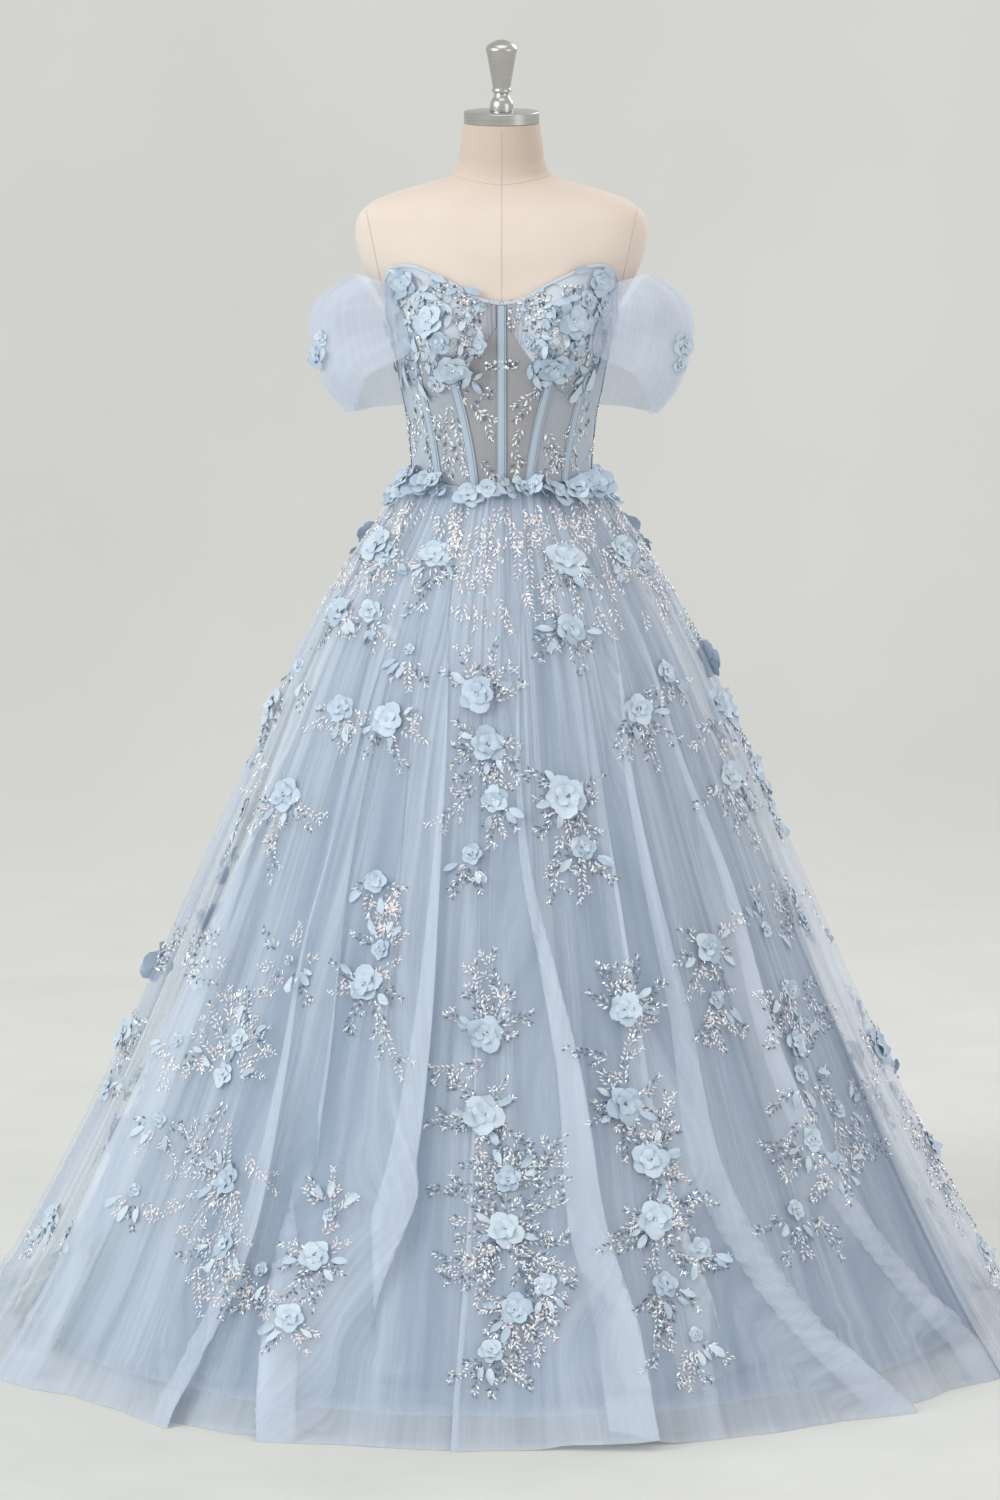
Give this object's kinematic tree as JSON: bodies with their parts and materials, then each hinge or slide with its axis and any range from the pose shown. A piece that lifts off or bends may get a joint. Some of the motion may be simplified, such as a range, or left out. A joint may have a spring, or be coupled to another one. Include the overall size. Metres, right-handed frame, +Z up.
{
  "type": "a-line prom dress on a limbless dress form",
  "caption": "Pale blue off-the-shoulder A-line prom dress with a boned corset bodice, tulle sleeves and flowered skirt, on a limbless dress form with a post stand.",
  "frame": {"origin": "on the floor, at the centre of the underside of the stand's round base", "axes": "+Z up; the dress faces -Y; +X is towards the dress's own left"},
  "size_m": [1.4068, 1.4735, 1.6854],
  "materials": {
    "tulle": "fine sheer net",
    "satin": "soft satin",
    "corset": "sheer power mesh",
    "channel": "satin tape",
    "organza": "crisp organza",
    "jersey": "matt knitted cover",
    "steel": "brushed",
    "stand": "satin paint"
  },
  "bodies": {
    "root": {"back_zip": "channel", "bodice_back_left": "corset", "bodice_back_right": "corset", "bodice_flower_1": "organza", "bodice_flower_2": "organza", "bodice_flower_3": "organza", "bodice_flower_4": "organza", "bodice_flower_5": "organza", "bodice_flower_6": "organza", "bodice_front_left": "corset", "bodice_front_right": "corset", "bodice_side_front_left": "corset", "bodice_side_front_right": "corset", "bodice_side_left": "corset", "bodice_side_right": "corset", "channel_back_left": "channel", "channel_back_right": "channel", "channel_centre": "channel", "channel_princess_left": "channel", "channel_princess_right": "channel", "channel_side_front_left": "channel", "channel_side_front_right": "channel", "channel_side_left": "channel", "channel_side_right": "channel", "cup_left": "corset", "cup_right": "corset", "finial": "steel", "form_torso": "jersey", "lining_back": "satin", "lining_front": "satin", "lining_left": "satin", "lining_right": "satin", "neck_cap": "steel", "neckline_binding": "channel", "overlay_back": "tulle", "overlay_back_left": "tulle", "overlay_back_right": "tulle", "overlay_front": "tulle", "overlay_front_left": "tulle", "overlay_front_right": "tulle", "overlay_side_left": "tulle", "overlay_side_right": "tulle", "sleeve_flower_left": "organza", "sleeve_flower_right": "organza", "sleeve_left": "tulle", "sleeve_right": "tulle", "stand_base": "stand", "stand_pole": "stand", "waist_flower_1": "organza", "waist_flower_10": "organza", "waist_flower_2": "organza", "waist_flower_3": "organza", "waist_flower_4": "organza", "waist_flower_5": "organza", "waist_flower_6": "organza", "waist_flower_7": "organza", "waist_flower_8": "organza", "waist_flower_9": "organza"}
  },
  "joints": []
}
